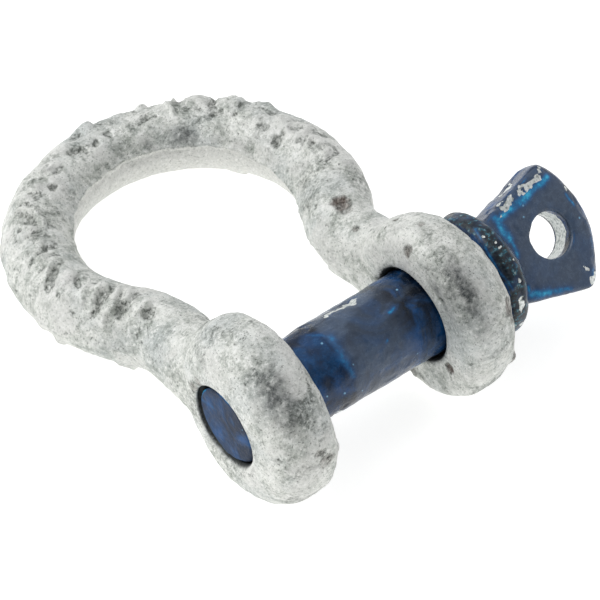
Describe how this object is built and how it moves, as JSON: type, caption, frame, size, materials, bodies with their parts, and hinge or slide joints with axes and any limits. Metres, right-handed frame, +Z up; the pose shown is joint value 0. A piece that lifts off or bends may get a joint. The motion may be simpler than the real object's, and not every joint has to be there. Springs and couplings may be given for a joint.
{
  "type": "bow shackle",
  "caption": "Galvanised bow shackle with a painted screw pin: a round bar bent into a wide crown, ears at its ends, and a pin with a collar and a flat eye tab.",
  "frame": {"origin": "on the pin's axis, halfway between the ears' inner faces", "axes": "+X along the pin, from its threaded end to its head; +Z up, with the shackle lying at rest on its two ears and its crown; +Y towards the crown, which lies 7.77 degrees below the XY plane as seen from the pin"},
  "size_m": [0.1246, 0.1365, 0.0472],
  "materials": {
    "galvanised_steel": "hot-dip galvanised, dull and mottled",
    "blue_paint": "dark blue gloss enamel, chipped at the edges"
  },
  "bodies": {
    "bow": {"bow": "galvanised_steel"},
    "pin": {"screw_pin": "blue_paint"}
  },
  "joints": [
    {"name": "pin_slide", "type": "slide", "parent": "bow", "child": "pin", "axis": [1, 0, 0], "range_m": [0, 0.088]}
  ]
}
